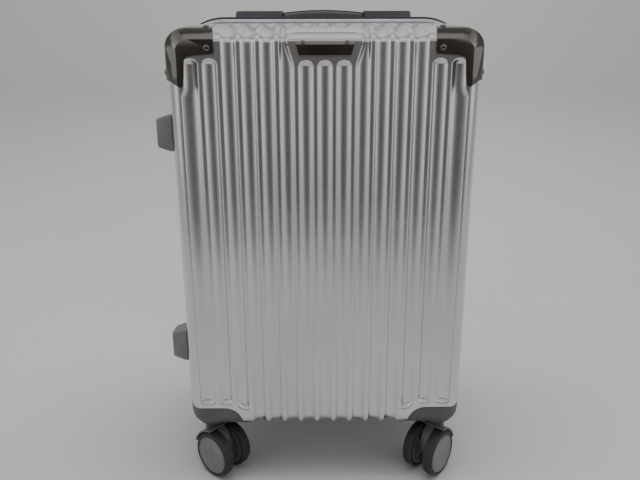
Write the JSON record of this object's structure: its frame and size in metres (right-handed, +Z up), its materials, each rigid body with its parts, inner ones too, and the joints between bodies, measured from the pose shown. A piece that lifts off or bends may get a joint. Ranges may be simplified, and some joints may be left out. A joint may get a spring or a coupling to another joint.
{
  "type": "hard shell suitcase on wheels",
  "caption": "Upright ribbed hard shell cabin suitcase that opens like a book, with a telescopic handle, carry handles and twin-wheel swivel casters.",
  "frame": {"origin": "on the floor under the middle of the case, on the plane of its zip seam", "axes": "+Z up, -Y out of the front shell, +X towards the side with the lock and the side handle"},
  "size_m": [0.376, 0.2454, 0.563],
  "materials": {
    "silver_shell": "glossy silver film, ribbed",
    "dark_chrome": "mirror-bright gunmetal plating",
    "grey_plastic": "matte blue-grey moulded plastic",
    "seam_piping": "satin light grey extrusion",
    "zip_tape": "black woven tape with coil teeth",
    "zip_metal": "satin nickel plating",
    "lining_fabric": "dark grey woven lining",
    "tyre_rubber": "dark matte rubber",
    "hub_plastic": "mid grey moulded plastic",
    "handle_tube": "satin anodised aluminium",
    "grip_rubber": "soft dark grey rubber"
  },
  "bodies": {
    "rear_case": {"rear_shell": "silver_shell", "rear_piping": "seam_piping", "rear_zip_tape": "zip_tape", "rear_lining": "lining_fabric", "rear_corner_guard_left": "dark_chrome", "rear_corner_guard_right": "dark_chrome", "rear_wheel_housing_left": "grey_plastic", "rear_wheel_housing_right": "grey_plastic", "rear_foot_upper": "grey_plastic", "rear_foot_lower": "grey_plastic", "top_handle_base": "grey_plastic", "side_handle_base": "grey_plastic", "trolley_bezel": "grey_plastic", "trolley_outer_frame": "handle_tube", "lock_body": "grey_plastic", "hinge_gusset": "lining_fabric"},
    "front_case": {"front_shell": "silver_shell", "front_piping": "seam_piping", "front_zip_tape": "zip_tape", "front_lining": "lining_fabric", "front_corner_guard_left": "dark_chrome", "front_corner_guard_right": "dark_chrome", "front_wheel_housing_left": "grey_plastic", "front_wheel_housing_right": "grey_plastic", "front_foot_upper": "grey_plastic", "front_foot_lower": "grey_plastic", "front_badge": "dark_chrome"},
    "top_grip": {"top_handle_grip": "grip_rubber"},
    "side_grip": {"side_handle_grip": "grip_rubber"},
    "trolley_lower_stage": {"trolley_middle_tube_left": "handle_tube", "trolley_middle_tube_right": "handle_tube"},
    "trolley_upper_stage": {"trolley_inner_tube_left": "handle_tube", "trolley_inner_tube_right": "handle_tube", "trolley_grip": "grip_rubber"},
    "trolley_button": {"trolley_button": "grey_plastic"},
    "lock_dial_1": {"lock_dial_1": "zip_metal"},
    "lock_dial_2": {"lock_dial_2": "zip_metal"},
    "lock_dial_3": {"lock_dial_3": "zip_metal"},
    "zip_slider_upper": {"zip_slider_upper": "zip_metal"},
    "zip_slider_lower": {"zip_slider_lower": "zip_metal"},
    "caster_front_left": {"caster_fork_front_left": "grey_plastic"},
    "wheel_front_left_a": {"wheel_hub_front_left_a": "hub_plastic", "tyre_front_left_a": "tyre_rubber"},
    "wheel_front_left_b": {"wheel_hub_front_left_b": "hub_plastic", "tyre_front_left_b": "tyre_rubber"},
    "caster_front_right": {"caster_fork_front_right": "grey_plastic"},
    "wheel_front_right_a": {"wheel_hub_front_right_a": "hub_plastic", "tyre_front_right_a": "tyre_rubber"},
    "wheel_front_right_b": {"wheel_hub_front_right_b": "hub_plastic", "tyre_front_right_b": "tyre_rubber"},
    "caster_rear_right": {"caster_fork_rear_right": "grey_plastic"},
    "wheel_rear_right_a": {"wheel_hub_rear_right_a": "hub_plastic", "tyre_rear_right_a": "tyre_rubber"},
    "wheel_rear_right_b": {"wheel_hub_rear_right_b": "hub_plastic", "tyre_rear_right_b": "tyre_rubber"},
    "caster_rear_left": {"caster_fork_rear_left": "grey_plastic"},
    "wheel_rear_left_a": {"wheel_hub_rear_left_a": "hub_plastic", "tyre_rear_left_a": "tyre_rubber"},
    "wheel_rear_left_b": {"wheel_hub_rear_left_b": "hub_plastic", "tyre_rear_left_b": "tyre_rubber"}
  },
  "joints": [
    {"name": "front_hinge", "type": "hinge", "parent": "rear_case", "child": "front_case", "pos_m": [-0.1883, 0, 0.2995], "axis": [0, 0, -1], "range_deg": [0, 180]},
    {"name": "top_grip_lift", "type": "slide", "parent": "rear_case", "child": "top_grip", "axis": [0, 0, 1], "range_m": [0, 0.009], "stiffness_N_per_m": 150},
    {"name": "side_grip_lift", "type": "slide", "parent": "rear_case", "child": "side_grip", "axis": [1, 0, 0], "range_m": [0, 0.0036], "stiffness_N_per_m": 150},
    {"name": "trolley_lower_slide", "type": "slide", "parent": "rear_case", "child": "trolley_lower_stage", "axis": [0, 0, 1], "range_m": [0, 0.22]},
    {"name": "trolley_upper_slide", "type": "slide", "parent": "trolley_lower_stage", "child": "trolley_upper_stage", "axis": [0, 0, 1], "range_m": [0, 0.22]},
    {"name": "trolley_button_press", "type": "slide", "parent": "trolley_upper_stage", "child": "trolley_button", "axis": [0, 0, -1], "range_m": [0, 0.003], "stiffness_N_per_m": 400},
    {"name": "lock_dial_1_spin", "type": "hinge", "parent": "rear_case", "child": "lock_dial_1", "pos_m": [0.1723, 0.025, 0.451], "axis": [0, 0, 1], "continuous": true},
    {"name": "lock_dial_2_spin", "type": "hinge", "parent": "rear_case", "child": "lock_dial_2", "pos_m": [0.1723, 0.025, 0.459], "axis": [0, 0, 1], "continuous": true},
    {"name": "lock_dial_3_spin", "type": "hinge", "parent": "rear_case", "child": "lock_dial_3", "pos_m": [0.1723, 0.025, 0.467], "axis": [0, 0, 1], "continuous": true},
    {"name": "zip_upper_slide", "type": "slide", "parent": "rear_case", "child": "zip_slider_upper", "axis": [0, 0, 1], "range_m": [0, 0.012]},
    {"name": "zip_lower_slide", "type": "slide", "parent": "rear_case", "child": "zip_slider_lower", "axis": [0, 0, 1], "range_m": [-0.3, 0]},
    {"name": "swivel_front_left", "type": "hinge", "parent": "front_case", "child": "caster_front_left", "pos_m": [-0.14, -0.078, 0], "axis": [0, 0, 1], "continuous": true},
    {"name": "wheel_spin_front_left_a", "type": "hinge", "parent": "caster_front_left", "child": "wheel_front_left_a", "pos_m": [-0.12779, -0.08754, 0.0285], "axis": [0.6157, 0.788, 0], "continuous": true},
    {"name": "wheel_spin_front_left_b", "type": "hinge", "parent": "caster_front_left", "child": "wheel_front_left_b", "pos_m": [-0.12779, -0.08754, 0.0285], "axis": [0.6157, 0.788, 0], "continuous": true},
    {"name": "swivel_front_right", "type": "hinge", "parent": "front_case", "child": "caster_front_right", "pos_m": [0.14, -0.078, 0], "axis": [0, 0, 1], "continuous": true},
    {"name": "wheel_spin_front_right_a", "type": "hinge", "parent": "caster_front_right", "child": "wheel_front_right_a", "pos_m": [0.12963, -0.08952, 0.0285], "axis": [0.7431, -0.6691, 0], "continuous": true},
    {"name": "wheel_spin_front_right_b", "type": "hinge", "parent": "caster_front_right", "child": "wheel_front_right_b", "pos_m": [0.12963, -0.08952, 0.0285], "axis": [0.7431, -0.6691, 0], "continuous": true},
    {"name": "swivel_rear_right", "type": "hinge", "parent": "rear_case", "child": "caster_rear_right", "pos_m": [0.14, 0.078, 0], "axis": [0, 0, 1], "continuous": true},
    {"name": "wheel_spin_rear_right_a", "type": "hinge", "parent": "caster_rear_right", "child": "wheel_rear_right_a", "pos_m": [0.12779, 0.08754, 0.0285], "axis": [-0.6157, -0.788, 0], "continuous": true},
    {"name": "wheel_spin_rear_right_b", "type": "hinge", "parent": "caster_rear_right", "child": "wheel_rear_right_b", "pos_m": [0.12779, 0.08754, 0.0285], "axis": [-0.6157, -0.788, 0], "continuous": true},
    {"name": "swivel_rear_left", "type": "hinge", "parent": "rear_case", "child": "caster_rear_left", "pos_m": [-0.14, 0.078, 0], "axis": [0, 0, 1], "continuous": true},
    {"name": "wheel_spin_rear_left_a", "type": "hinge", "parent": "caster_rear_left", "child": "wheel_rear_left_a", "pos_m": [-0.12963, 0.08952, 0.0285], "axis": [-0.7431, 0.6691, 0], "continuous": true},
    {"name": "wheel_spin_rear_left_b", "type": "hinge", "parent": "caster_rear_left", "child": "wheel_rear_left_b", "pos_m": [-0.12963, 0.08952, 0.0285], "axis": [-0.7431, 0.6691, 0], "continuous": true}
  ]
}
